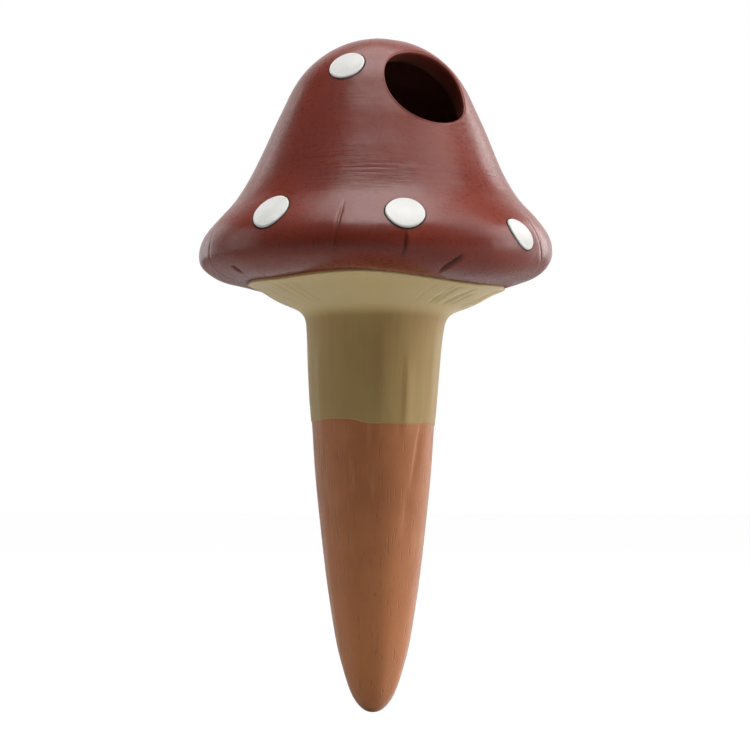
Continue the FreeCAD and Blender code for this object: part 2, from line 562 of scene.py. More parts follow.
@dataclass(frozen=True)
class CapCoat:
    """Dark brown-red satin coat, brushed on in level strokes."""

    colour: Triple = (0.200, 0.0345, 0.0205)
    deep_colour: Triple = (0.165, 0.0265, 0.0155)
    # Painted shade: near-black lines along the creases of the brim
    fold_shade_colour: Triple = (0.02, 0.006, 0.004)
    # Painted shade inside the cavity and down the mouth's wall
    inner_shade_colour: Triple = (0.15, 0.05, 0.035)
    speck_colour: Triple = (0.55, 0.42, 0.36)
    clouds: Pattern = Pattern(55.0, 3.0, 0.6)
    strokes: Pattern = Pattern(1500.0, 3.0, 0.6, (0.35, 0.6, 0.85, 1.0), (0.06, 0.06, 1.0))
    patches: Pattern = Pattern(40.0, 1.0, 0.5, (0.42, 0.62, 0.15, 1.0))
    flank_start: Pair = (0.044, 0.054)
    flank_end: tuple[float, ...] = (0.066, 0.080, 1.0, 0.25)
    speck_scale: float = 130.0
    speck_near: Pair = (0.022, 0.04)
    speck_rarity: float = 0.86
    grain: Pattern = Pattern(900.0, 3.0, 0.6, (0.3, 0.7, 0.26, 0.34))
    lumps: Pattern = Pattern(120.0)
    inner_roughness: float = 0.6
    level: float = 0.28
    lump_bump: Pair = (0.00035, 0.5)
    grain_bump: Pair = (0.00004, 0.3)
    stroke_bump: Pair = (0.00010, 0.9)

    def material(self) -> Material:
        """Cloudy coat with level brush lines, fine grain, painted shade in the folds and inside,
        and a few pale specks.

        Returns:
            The material.
        """
        surface = Surface("cap_coat")
        book, place = surface.book, surface.place
        clouds = book.cloud(place, self.clouds)
        coat = surface.layered(rgba(self.deep_colour), (clouds, self.colour))
        strokes = book.noise(place, self.strokes)
        height = book.parts(place)["Z"]
        on_flank = book.product(
            book.ramp(height, *self.flank_start), book.ramp(height, *self.flank_end)
        )
        brushed = book.product(book.cloud(place, self.patches), on_flank)
        shade = book.ramp(strokes, *self.strokes.reading)
        inputs = {"Value": shade, "Fac": brushed, "Color": coat}
        shaded = book.node("ShaderNodeHueSaturation", inputs).outputs[0]
        cover, chosen = book.specks(place, self.speck_scale, self.speck_near)
        cover = book.product(cover, book.sum("GREATER_THAN", chosen, self.speck_rarity))
        # The fold attribute carries painted shade along the creases
        fold, inside = book.attribute("fold"), book.attribute("inside")
        grain = book.noise(place, self.grain)
        satin = book.ramp(grain, *self.grain.reading)
        return surface.finished({
            "Base Color": surface.layered(
                shaded, (cover, self.speck_colour), (fold, self.fold_shade_colour),
                # Painted shade inside the cavity and down the mouth's wall, which is also rougher
                (inside, self.inner_shade_colour),
            ),
            "Roughness": book.sum("ADD", satin, book.product(inside, self.inner_roughness)),
            "Normal": book.bumps(
                (book.noise(place, self.lumps), *self.lump_bump), (grain, *self.grain_bump),
                (book.product(strokes, brushed), *self.stroke_bump),
            ),
            "Specular IOR Level": self.level,
        })


@dataclass(frozen=True)
class BareClay:
    """Bare fired terracotta, matt and lightly scratched."""

    colour: Triple = (0.53, 0.197, 0.075)
    pale_colour: Triple = (0.58, 0.265, 0.13)
    dark_colour: Triple = (0.43, 0.152, 0.056)
    # Painted light: paler clay towards the tip, for light thrown up off the floor
    tip_bounce_light_colour: Triple = (0.61, 0.228, 0.084)
    clouds: Pattern = Pattern(60.0, 4.0, 0.6, (0.3, 0.75))
    streaks: Pattern = Pattern(400.0, 2.0, 0.5, (0.55, 0.8, 0.0, 0.6), (1.0, 1.0, 0.12))
    bounce_light_heights: tuple[float, ...] = (-0.062, -0.015, 0.85, 0.0)
    scratches: Pattern = Pattern(
        1500.0, 1.0, 0.5, (0.63, 0.70), (1.0, 1.0, 0.045), (0.35, 0.25, 0.0)
    )
    scratch_share: float = 0.55
    grain: Pattern = Pattern(1800.0, 4.0, 0.65, (0.3, 0.7, 0.64, 0.78))
    lumps: Pattern = Pattern(170.0)
    level: float = 0.2
    sheen: float = 0.7
    sheen_roughness: float = 0.45
    lump_bump: Pair = (0.0004, 0.4)
    grain_bump: Pair = (0.00006, 0.7)
    scratch_bump: Pair = (-0.00009, 0.8)

    def material(self) -> Material:
        """Cloudy clay with painted bounce light that pales the tip, fine grain and slanting
        scratches.

        Returns:
            The material.
        """
        surface = Surface("bare_clay")
        book, place = surface.book, surface.place
        # Painted bounce light, paler towards the tip
        painted_bounce_light = book.ramp(book.parts(place)["Z"], *self.bounce_light_heights)
        scratches = book.cloud(place, self.scratches)
        grain = book.noise(place, self.grain)
        return surface.finished({
            "Base Color": surface.layered(
                rgba(self.dark_colour), (book.cloud(place, self.clouds), self.colour),
                (book.cloud(place, self.streaks), self.pale_colour), (painted_bounce_light, self.tip_bounce_light_colour),
                (book.product(scratches, self.scratch_share), self.dark_colour),
            ),
            "Roughness": book.ramp(grain, *self.grain.reading),
            "Normal": book.bumps(
                (book.noise(place, self.lumps), *self.lump_bump), (grain, *self.grain_bump),
                (scratches, *self.scratch_bump),
            ),
            "Specular IOR Level": self.level,
            "Sheen Weight": self.sheen,
            "Sheen Roughness": self.sheen_roughness,
        })


@dataclass(frozen=True)
class KhakiCoat:
    """Thin matt khaki coat of the gills and the upper stem."""

    colour: Triple = (0.43, 0.295, 0.108)
    warm_colour: Triple = (0.40, 0.257, 0.094)
    green_colour: Triple = (0.34, 0.275, 0.105)
    # Painted light: paler khaki on the gills, for light thrown up from below
    gill_bounce_light_colour: Triple = (0.66, 0.51, 0.245)
    mark_colour: Triple = (0.16, 0.11, 0.05)
    speck_colour: Triple = (0.75, 0.66, 0.45)
    warm: Pattern = Pattern(90.0, 3.0, 0.55, (0.35, 0.7), (1.0, 1.0, 0.25))
    green: Pattern = Pattern(70.0, 2.0, 0.5, (0.58, 0.72, 0.0, 0.7), (1.0, 1.0, 0.25))
    gill_heights: tuple[float, ...] = (0.0235, 0.0265, 0.0, 0.85)
    speck_scale: float = 150.0
    speck_near: Pair = (0.02, 0.05)
    pale_rarity: float = 0.9
    dark_rarity: float = 0.1
    mark_share: float = 0.6
    grain: Pattern = Pattern(1300.0, 3.0, 0.6, (0.3, 0.7, 0.57, 0.69))
    strokes: Pattern = Pattern(700.0, stretch=(1.0, 1.0, 0.08))
    level: float = 0.25
    sheen: float = 0.35
    sheen_roughness: float = 0.45
    stroke_bump: Pair = (0.00012, 0.5)
    grain_bump: Pair = (0.00004, 0.6)

    def material(self) -> Material:
        """Khaki with warm and green clouds, paler gills from painted bounce light, upright streaks,
        and a few pale and dark specks.

        Returns:
            The material.
        """
        surface = Surface("khaki_coat")
        book, place = surface.book, surface.place
        # Painted bounce light on the gills, which face down
        painted_gill_light = book.ramp(book.parts(place)["Z"], *self.gill_heights)
        cover, chosen = book.specks(place, self.speck_scale, self.speck_near)
        pale = book.product(cover, book.sum("GREATER_THAN", chosen, self.pale_rarity))
        dark = book.product(cover, book.sum("LESS_THAN", chosen, self.dark_rarity))
        grain = book.noise(place, self.grain)
        return surface.finished({
            "Base Color": surface.layered(
                rgba(self.colour), (book.cloud(place, self.warm), self.warm_colour),
                (book.cloud(place, self.green), self.green_colour), (painted_gill_light, self.gill_bounce_light_colour),
                (pale, self.speck_colour), (book.product(dark, self.mark_share), self.mark_colour),
            ),
            "Roughness": book.ramp(grain, *self.grain.reading),
            "Normal": book.bumps(
                (book.noise(place, self.strokes), *self.stroke_bump), (grain, *self.grain_bump)
            ),
            "Specular IOR Level": self.level,
            "Sheen Weight": self.sheen,
            "Sheen Roughness": self.sheen_roughness,
        })


@dataclass(frozen=True)
class DotPaint:
    """Thick matt white paint, with a thin line of painted shade where it meets the cap."""

    colour: Triple = (0.77, 0.765, 0.74)
    grey_colour: Triple = (0.70, 0.695, 0.67)
    # Painted shade round the edge of each dot
    edge_shade_colour: Triple = (0.022, 0.008, 0.006)
    clouds: Pattern = Pattern(260.0, 3.0, 0.5, (0.35, 0.7))
    edge: Pair = (0.93, 0.942)
    roughness: Pair = (0.55, 0.95)
    grain: Pattern = Pattern(900.0, 3.0)
    level: float = 0.3
    grain_bump: Pair = (0.00005, 0.5)

    def material(self) -> Material:
        """White with faint grey clouds inside, and painted shade on the rougher skirt.

        Returns:
            The material.
        """
        surface = Surface("dot_paint")
        book, place = surface.book, surface.place
        reach = book.attribute("reach")
        return surface.finished({
            "Base Color": surface.layered(
                rgba(self.grey_colour), (book.cloud(place, self.clouds), self.colour),
                # Painted shade on the skirt round the dot
                (book.ramp(reach, *self.edge), self.edge_shade_colour),
            ),
            "Roughness": book.ramp(reach, *self.edge, *self.roughness),
            "Normal": book.bumps((book.noise(place, self.grain), *self.grain_bump)),
            "Specular IOR Level": self.level,
        })


# Pieces


@dataclass(frozen=True)
class Fold:
    """Crease in the clay of the brim, along three places of azimuth and height, with painted shade
    along its middle.

    The azimuths are in degrees and the lengths in millimetres.
    """

    azimuths: Triple
    heights: Triple
    width: float
    depth: float
    lip: float = 0.0
    reach: float = 5.0
    # Strength of the painted shade along the crease
    dark: float = 0.8
    fade_share: float = 0.22
    step_share: float = 0.7
    shade_width_share: float = 0.55

    def apply(self, skin: Skin) -> tuple:
        """Work out how the fold shapes the cap and how much painted shade lies along it.

        Args:
            skin: points of the turned skin.

        Returns:
            Movement outwards in metres, and painted shade from zero to one.
        """
        heights = np.array(self.heights) * MM
        low, high = heights.min(), heights.max()
        line = np.polyfit(heights, np.radians(self.azimuths), 2)
        path = np.polyval(line, np.clip(skin.height, low, high))
        length = spanned(skin.height, low, high, self.fade_share)
        across = turned_by(skin.azimuth, path) * skin.out
        width = self.width * MM
        groove = np.exp(-((across / width) ** 2))
        step = -np.tanh(across / (self.step_share * width))
        step = step * np.exp(-np.abs(across) / (self.reach * MM))
        # Painted shade along the middle of the crease
        dark = self.dark * np.exp(-((across / (self.shade_width_share * width)) ** 2))
        return (self.lip * step - self.depth * groove) * MM * length, dark * length


@dataclass
class Cap:
    """Hollow bell with a rolled brim and a slanted fill mouth, in one closed skin."""

    knots: list[Pair] = field(default_factory=lambda: [
        (0.0, 91.5), (4.1, 91.1), (7.9, 90.0), (11.5, 88.3), (15.0, 85.9), (18.0, 83.0),
        (20.5, 79.5), (23.0, 74.4), (25.3, 69.3), (27.35, 64.3), (29.45, 59.5), (30.85, 56.6),
        (32.5, 53.6), (34.6, 50.5), (36.5, 48.4), (38.2, 46.5), (39.65, 44.7), (40.75, 43.0),
        (41.4, 41.3),
        (41.67, 39.4), (41.2, 37.0), (40.1, 35.2), (38.2, 33.7), (35.6, 32.7), (33.2, 32.3),
        (31.2, 32.2),
    ])
    wall: float = 0.0042
    lean: Lean = Lean()

    # Flat underside with its collar, and the floor of the cavity above it
    underside_height: float = 0.0322
    underside_outs: Pair = (0.0295, 0.0275)
    collar_radius: float = 0.026
    collar_middle: float = 0.0021
    floor_outs: Triple = (0.029, 0.033, 0.0358)
    floor_radius: float = 0.0372
    cove: float = 0.0003
    cove_rises: Pair = (0.0012, 0.0030)
    cavity_low: float = 0.0415

    # How finely the skin is laid
    turns: int = 448
    crown_rows: int = 58
    crown_crowding: float = 1.15
    bell_rows: int = 88
    lip_rows: int = 10
    cavity_rows: int = 20
    throat_rows: int = 16
    mouth_wall_rows: int = 5
    azimuth_steps: int = 7200
    fold_crowding: Pair = (2.4, 6.0)
    rear_crowding: Pair = (5.0, 2.2)
    front_azimuth: float = 1.0

    # Fill mouth, in the crown laid flat
    crown_reach: float = 0.047
    mouth_middle: Pair = (0.01427, 0.02335)
    mouth_radius: float = 0.0121
    mouth_waves: tuple[Pair, ...] = ((-0.00021, -0.00137), (-0.00007, 0.00023))
    throat_middle: Pair = (0.0142, 0.0236)
    throat_scale: float = 1.42
    lip_widths: Pair = (0.0006, 0.0020)
    lip_curve: float = 1.5
    lip_bead: float = 0.0004
    shoulder_shares: Pair = (0.9, 0.75)
    soft_azimuth: float = 178.0
    # Painted shade on the inner side of the lip and down the mouth's wall, as shares of the inner
    # shade
    lip_shade: float = 0.2
    mouth_wall_shade: float = 0.9

    # Hand-made unevenness
    brim_heights: Pair = (0.060, 0.044)
    brim_ripples: tuple[Ripple, ...] = (Ripple(2.0, 0.00016, 0.6), Ripple(7.0, 0.00007, 2.0, 150.0))
    ripples: tuple[Ripple, ...] = (
        Ripple(3.0, 0.00010, -1.1, 60.0), Ripple(5.0, 0.00006, 0.0, -190.0)
    )
    bulge: float = 0.00072
    bulge_azimuth: float = -1.4
    bulge_heights: Pair = (0.034, 0.038)
    bulge_span: Pair = (0.4, 1.0)
    # Azimuth in degrees, then height, width and rise in millimetres
    lumps: Table = (
        (13.8, 55.5, 1.1, 0.09), (1.3, 42.7, 0.9, 0.10), (-42.0, 62.0, 1.2, 0.06),
        (28.0, 50.0, 1.0, 0.06), (150.0, 52.0, 1.2, 0.10), (-120.0, 60.0, 1.2, 0.08),
        (75.0, 57.0, 1.1, 0.07),
    )
    roll_starts: Pair = (0.0325, 0.0385)
    roll_ends: Pair = (0.061, 0.046)
    foot_heights: Pair = (0.0385, 0.0335)
    foot_outs: Pair = (0.0310, 0.0335)
    # Middle and width in degrees, then rise of the roll and rise of its foot in millimetres
    brim_waves: Table = (
        (-8.0, 38.0, -2.3, 0.0), (48.0, 26.0, 0.3, 0.0), (92.0, 34.0, 1.6, 1.2),
        (-88.0, 34.0, -0.9, -0.5), (175.0, 40.0, -1.0, 0.0), (-140.0, 30.0, 0.6, 0.0),
    )
    folds: tuple[Fold, ...] = (
        Fold((-11.8, -12.2, -12.9), (47.4, 43.0, 37.0), 0.34, 0.20, 0.15, 3.5, 0.5),
        Fold((8.6, 8.3, 7.8), (40.4, 38.0, 35.2), 0.42, 0.24, -0.26, 4.0, 0.6),
        Fold((26.4, 24.8, 22.6), (36.2, 34.7, 33.0), 0.5, 0.50, -0.24, 3.5, 0.95),
        Fold((-55.2, -55.6, -56.2), (34.6, 33.8, 33.0), 0.6, 0.35, 0.1, 2.5, 0.9),
        Fold((-71.0, -65.5, -74.0), (48.0, 38.5, 32.6), 0.8, 0.50, -0.40, 6.0, 0.6),
        Fold((60.5, 63.4, 74.0), (45.5, 38.7, 32.6), 0.8, 0.70, 0.50, 6.0, 0.95),
        Fold((128.0, 131.0, 134.0), (45.0, 39.0, 33.5), 0.8, 0.35, 0.2, 5.0, 0.5),
        Fold((-151.0, -149.0, -147.0), (43.0, 38.0, 33.8), 0.7, 0.30, -0.2, 4.0, 0.5),
        Fold((-104.0, -107.0, -109.0), (40.0, 36.5, 33.2), 0.7, 0.30, 0.15, 4.0, 0.5),
    )

    def __post_init__(self) -> None:
        """Lay the outer line and the azimuths, which crowd together at the folds."""
        self.section = Section(self.knots)
        fine = np.linspace(0.0, FULL_TURN, self.azimuth_steps + 1)
        crowd = np.ones_like(fine)
        for fold in self.folds:
            middle = sum(fold.azimuths) / 3.0
            in_front = abs(math.radians(middle)) < self.front_azimuth
            width, close = self.fold_crowding if in_front else self.rear_crowding
            crowd += close * hill(fine, middle, width)
        share = np.concatenate([[0.0], np.cumsum((crowd[1:] + crowd[:-1]) / 2.0)])
        steps = np.linspace(0.0, share[-1], self.turns, endpoint=False)
        self.azimuths = np.interp(steps, share, fine)

    def mouth_reach(self) -> Array:
        """Work out the uneven edge of the mouth in the crown laid flat.

        Returns:
            Distance of the edge from the mouth's middle at each azimuth.
        """
        reach = np.full(self.turns, self.mouth_radius)
        for count, (even, odd) in enumerate(self.mouth_waves, start=2):
            reach += even * np.cos(count * self.azimuths) + odd * np.sin(count * self.azimuths)
        return reach

    def unevenness(self, skin: Skin) -> tuple:
        """Work out how the hand-made skin differs from the turned shape.

        Args:
            skin: points of the turned skin.

        Returns:
            Movement outwards in metres, and painted shade in the folds.
        """
        brim = eased(skin.height, *self.brim_heights)
        move = sum(ripple.at(skin) for ripple in self.ripples)
        move += brim * sum(ripple.at(skin) for ripple in self.brim_ripples)
        bulged = eased(np.cos(skin.azimuth - self.bulge_azimuth), *self.bulge_span)
        move += self.bulge * brim * eased(skin.height, *self.bulge_heights) * bulged
        for middle, level, width, rise in self.lumps:
            across = turned_by(skin.azimuth, math.radians(middle)) * skin.out
            away = np.hypot(across, skin.height - level * MM)
            move += rise * MM * np.exp(-((away / (width * MM)) ** 2))
        # Painted shade of the folds
        dark = np.zeros_like(skin.azimuth)
        for fold in self.folds:
            fold_move, fold_dark = fold.apply(skin)
            move += fold_move
            dark = np.maximum(dark, fold_dark)
        return move, dark

    def droop(self, skin: Skin) -> Array:
        """Work out how far the brim hangs lower or higher than the turned shape.

        Args:
            skin: points of the turned skin.

        Returns:
            Movement upwards in metres.
        """
        roll = eased(skin.height, *self.roll_starts) * eased(skin.height, *self.roll_ends)
        foot = eased(skin.height, *self.foot_heights) * eased(skin.out, *self.foot_outs)
        return sum(
            hill(skin.azimuth, middle, width) * (roll_rise * roll + foot_rise * foot) * MM
            for middle, width, roll_rise, foot_rise in self.brim_waves
        )

    def on_skin(self, across: Array, ahead: Array, inset: float) -> tuple:
        """Place points of the crown laid flat on the cap.

        Args:
            across: distance to the right of the top, along the skin.
            ahead: distance towards the front, along the skin.
            inset: depth under the outer skin.

        Returns:
            Places in the frame, and darkness of the folds.
        """
        azimuth = np.arctan2(across, ahead)
        out, height, out_part, up_part = self.section.at(np.hypot(across, ahead))
        move, dark = -inset, np.zeros_like(azimuth)
        if inset == 0.0:
            skin = Skin(azimuth, height, out)
            move, dark = self.unevenness(skin)
            height = height + self.droop(skin)
        return round_places(azimuth, out + move * out_part, height + move * up_part), dark

    def crown_ring(self, share: float, middle: Pair, reach: Array,
                   inset: float = 0.0) -> tuple:
        """Ring of the crown between the mouth and the level ring under it.

        Args:
            share: zero at the mouth, one at the level ring.
            middle: the mouth's middle in the crown laid flat.
            reach: distance of the mouth's edge from its middle.
            inset: depth under the outer skin.

        Returns:
            Places of the ring, and darkness of the folds.
        """
        radius = (1.0 - share) * reach + share * self.crown_reach
        across = (1.0 - share) * middle[0] + radius * np.sin(self.azimuths)
        ahead = (1.0 - share) * middle[1] + radius * np.cos(self.azimuths)
        return self.on_skin(across, ahead, inset)

    def bell_ring(self, travel: float, inset: float = 0.0) -> tuple:
        """Ring of the bell at a length from the top, and darkness of the folds."""
        return self.on_skin(travel * np.sin(self.azimuths), travel * np.cos(self.azimuths), inset)

    def underside(self) -> list[Spots]:
        """Lay out the underside, the collar and the floor of the cavity.

        Returns:
            Level rings.
        """
        low, floor = self.underside_height, self.underside_height + self.wall
        rings = [(out, low) for out in (*self.underside_outs, self.collar_radius)]
        rings += [(self.collar_radius, low + self.collar_middle), (self.collar_radius, floor)]
        rings += [(out, floor) for out in (*self.floor_outs, self.floor_radius)]
        rings += [(self.floor_radius + self.cove, floor + rise) for rise in self.cove_rises]
        return [round_places(self.azimuths, out, height) for out, height in rings]

    def rows(self) -> list[tuple[Spots, Array, float]]:
        """Lay out every ring of the skin, from the lip round the outside to the inside.

        Returns:
            Rings of places, each with the painted shade of its folds and its share of the painted
            shade inside.
        """
        softness = 0.5 + 0.5 * np.cos(turned_by(self.azimuths, math.radians(self.soft_azimuth)))
        narrow, wide = self.lip_widths
        lip = narrow + (wide - narrow) * softness**self.lip_curve
        reach = self.mouth_reach()
        throat_reach = reach * self.throat_scale
        edge, _ = self.crown_ring(0.0, self.mouth_middle, reach)
        outer, _ = self.crown_ring(0.0, self.mouth_middle, reach + lip)
        throat, _ = self.crown_ring(0.0, self.throat_middle, throat_reach, self.wall)
        depth = np.linalg.norm(throat - edge, axis=1)[:, None]
        down = (throat - edge) / depth
        of_lip, of_depth = self.shoulder_shares
        shoulder = edge + down * np.minimum(lip[:, None] * of_lip, of_depth * depth)
        edge = edge - down * self.lip_bead * (0.5 + 0.5 * np.cos(self.azimuths))[:, None]
        clear = np.zeros(self.turns)
        rows = []
        for share in shares(self.lip_rows, 0):
            left = 1.0 - share
            ring = left**2 * shoulder + 2.0 * share * left * edge + share**2 * outer
            rows.append((ring, clear, self.lip_shade * left**self.lip_curve))
        for share in shares(self.crown_rows):
            crowded = share**self.crown_crowding
            rows.append((*self.crown_ring(crowded, self.mouth_middle, reach + lip), 0.0))
        top, foot = self.crown_reach, self.section.length
        for travel in np.linspace(top, foot, self.bell_rows + 1)[1:]:
            rows.append((*self.bell_ring(travel), 0.0))
        rows += [(ring, clear, 1.0) for ring in self.underside()]
        foot = self.section.travel_at_height(self.cavity_low)
        for travel in np.linspace(foot, top, self.cavity_rows):
            rows.append((*self.bell_ring(travel, self.wall), 1.0))
        for share in shares(self.throat_rows):
            ring = self.crown_ring(1.0 - share, self.throat_middle, throat_reach, self.wall)
            rows.append((*ring, 1.0))
        for share in shares(self.mouth_wall_rows)[:-1]:
            ring = throat + (shoulder - throat) * share
            rows.append((ring, clear, 1.0 - self.mouth_wall_shade * share))
        return rows

    def build(self) -> Piece:
        """Make the cap's skin, leaned and dressed.

        Returns:
            The finished piece.
        """
        rings, dark, inside = zip(*self.rows())
        piece = mesh_of_rows("mushroom_cap", list(rings), round_again=True)
        # Painted shade along the folds
        mark(piece, "fold", np.concatenate(dark))
        # Painted shade inside the cavity and down the mouth's wall; the inside is also rougher
        mark(piece, "inside", np.repeat(inside, self.turns))
        self.lean.bend(piece)
        piece.data.materials.append(CapCoat().material())
        return piece


@dataclass(frozen=True)
class Flute:
    """Soft upright ridge or shaved hollow on the stem or the spike.

    The azimuth is in degrees, the slant in degrees to the slant's run, and the other
    lengths in millimetres. One side is steeper than the other.
    """

    azimuth: float
    low: float
    high: float
    width: float
    rise: float
    slant: float = 0.0
    slant_run: float = 0.010
    fade_share: float = 0.3
    steepness: float = 1.8

    def apply(self, skin: Skin) -> Array:
        """Work out how the flute moves the skin.

        Args:
            skin: points of the turned skin.

        Returns:
            Movement outwards in metres.
        """
        low, high = self.low * MM, self.high * MM
        runs = (skin.height - (low + high) / 2.0) / self.slant_run
        path = math.radians(self.azimuth) + math.radians(self.slant) * runs
        across = turned_by(skin.azimuth, path) * skin.out / (self.width * MM)
        across = np.where(across < 0.0, across * self.steepness, across)
        length = spanned(skin.height, low, high, self.fade_share)
        return self.rise * MM * length * np.exp(-(across**2))


@dataclass
class Stem:
    """Stem spike: gill plate with its spigot, stem and pointed spike round a water channel."""

    knots: list[Pair] = field(default_factory=lambda: [
        (30.55, 31.9), (30.1, 31.6), (28.4, 30.9), (24.4, 28.95), (21.8, 27.9), (19.6, 27.0),
        (17.8, 25.9), (16.7, 24.4), (16.25, 22.4), (15.95, 19.5), (15.65, 15.0), (15.35, 10.5),
        (14.85, 3.5), (14.45, -0.9), (13.95, -8.5), (13.3, -16.1), (12.5, -23.6), (11.65, -31.1),
        (10.7, -38.6), (9.55, -46.1), (8.15, -53.6), (7.15, -57.3), (6.0, -61.0), (4.4, -64.6),
        (2.75, -66.6), (1.3, -67.5), (0.25, -67.7),
    ])
    lean: Lean = Lean()
    section_steps: int = 600
    turns: int = 384
    skin_rows: int = 210

    # Water channel, spigot and the seat of the cap
    channel_radius: float = 0.007
    channel_depth: float = 0.045
    channel_rows: int = 9
    channel_end_outs: Pair = (0.001, 0.004)
    spigot_radius: float = 0.0258
    spigot_top: float = 0.0356
    spigot_outs: Triple = (0.0105, 0.0155, 0.0205)
    spigot_ease: float = 0.0004
    plate_top: float = 0.0322
    seat_outs: Triple = (0.0275, 0.0292, 0.03035)

    # Hand-made unevenness
    ripples: tuple[Ripple, ...] = (Ripple(3.0, 0.00008, 0.0, 40.0), Ripple(8.0, 0.00005, -1.0))
    ripple_top: Pair = (0.030, 0.020)
    ripple_foot: Pair = (-0.067, -0.060)
    flutes: tuple[Flute, ...] = (
        Flute(6.0, 1.5, 22.0, 2.2, 0.22), Flute(29.5, -2.0, 13.0, 1.6, 0.30),
        Flute(-11.0, 0.0, 10.0, 1.6, 0.14), Flute(-55.0, -4.0, 16.0, 2.4, 0.18),
        Flute(60.0, 0.0, 20.0, 2.2, 0.16), Flute(100.0, -2.0, 18.0, 2.4, 0.22),
        Flute(141.0, 0.0, 14.0, 2.0, 0.20), Flute(-170.0, -3.0, 20.0, 2.4, 0.20),
        Flute(-120.0, 2.0, 18.0, 2.2, 0.2), Flute(45.0, -14.0, -2.0, 1.3, -0.35, 6.0),
        Flute(36.0, -26.0, -16.0, 1.8, -0.18), Flute(-62.0, -55.0, -24.0, 1.6, 0.14),
        Flute(-25.0, -58.0, -40.0, 2.6, -0.14), Flute(150.0, -40.0, -12.0, 2.4, -0.25),
        Flute(-140.0, -30.0, -8.0, 1.8, -0.22),
    )

    # Khaki coat, with the clay let in under its gills
    coat_thickness: float = 0.00014
    coat_start: float = 0.0002
    coat_rows: int = 120
    coat_inner_rows: int = 40
    coat_cover: float = 0.0001
    coat_edges: tuple[Pair, ...] = ((0.00022, 0.000077), (0.0003, -0.00004))
    gill_depth: float = 0.0006
    gill_heights: Pair = (0.0225, 0.0265)
    line_step: Triple = (-0.65, -12.0, 0.15)
    line_back_wave: Triple = (0.35, 2.0, 1.0)
    line_wave: Triple = (0.10, 7.0, 0.4)

    def __post_init__(self) -> None:
        """Lay the outer line and the azimuths."""
        self.section = Section(self.knots, self.section_steps)
        self.azimuths = np.linspace(0.0, FULL_TURN, self.turns, endpoint=False)

    def soil_line(self) -> Array:
        """Height of the wavy lower edge of the khaki coat at each azimuth, in metres.

        Returns:
            Heights, with a step at the front and longer waves at the back.
        """
        front = np.cos(self.azimuths / 2.0) ** 2
        rise, middle, softness = self.line_step
        step = rise * np.tanh(turned_by(self.azimuths, math.radians(middle)) / softness) * front
        back, every = (
            high * np.sin(count * self.azimuths + phase)
            for high, count, phase in (self.line_back_wave, self.line_wave)
        )
        return (step + back * (1.0 - front) + every) * MM

    def under_gills(self, travel: Array) -> Array:
        """Depth that the clay is let in under the gills, at lengths from the plate's rim."""
        return self.gill_depth * eased(self.section.at(travel)[1], *self.gill_heights)

    def skin_ring(self, travel: Array, spare: Array | float = 0.0) -> Spots:
        """Ring of the outer skin.

        Args:
            travel: length from the rim of the plate, one for each azimuth.
            spare: distance above the skin.

        Returns:
            Places in the frame.
        """
        out, height, out_part, up_part = self.section.at(travel)
        skin = Skin(self.azimuths, height, out)
        move = sum(ripple.at(skin) for ripple in self.ripples)
        move = move * eased(height, *self.ripple_top) * eased(height, *self.ripple_foot)
        move = move + sum(flute.apply(skin) for flute in self.flutes) + spare
        return round_places(self.azimuths, out + move * out_part, height + move * up_part)

    def build_clay(self) -> Piece:
        """Make the closed clay body with its channel.

        Returns:
            The finished piece.
        """
        foot, top = -self.channel_depth, self.spigot_top
        shoulder = self.spigot_radius - self.spigot_ease
        levels = [(out, foot) for out in self.channel_end_outs]
        levels += [(self.channel_radius, z) for z in np.linspace(foot, top, self.channel_rows)]
        levels += [(out, top) for out in (*self.spigot_outs, shoulder)]
        levels += [(self.spigot_radius, z) for z in (top - self.spigot_ease, self.plate_top)]
        levels += [(out, self.plate_top) for out in self.seat_outs]
        rings = [round_places(self.azimuths, out, height) for out, height in levels]
        for travel in np.linspace(0.0, self.section.length, self.skin_rows):
            along = np.full(self.turns, travel)
            rings.append(self.skin_ring(along, -self.under_gills(along)))
        piece = mesh_of_rows("clay_stem_spike", rings, round_again=False, poles=True)
        self.lean.bend(piece)
        piece.data.materials.append(BareClay().material())
        return piece

    def build_coat(self) -> Piece:
        """Make the khaki coat, a thin closed sleeve over the gill slope and the upper stem.

        Returns:
            The finished piece.
        """
        ends = np.interp(-self.soil_line(), -self.section.points[:, 1], self.section.travel)
        start, run = self.coat_start, ends - self.coat_start
        rings = [
            self.skin_ring(start + run * share, self.coat_thickness)
            for share in np.linspace(0.0, 1.0, self.coat_rows)
        ]
        rings += [self.skin_ring(ends + past, spare) for past, spare in self.coat_edges]
        for share in np.linspace(1.0, 0.0, self.coat_inner_rows):
            travel = start + run * share
            rings.append(self.skin_ring(travel, -self.coat_cover - self.under_gills(travel)))
        piece = mesh_of_rows("khaki_coat", rings, round_again=True)
        piece = GillGrooves().applied(piece, KhakiCoat().material())
        self.lean.bend(piece)
        return piece


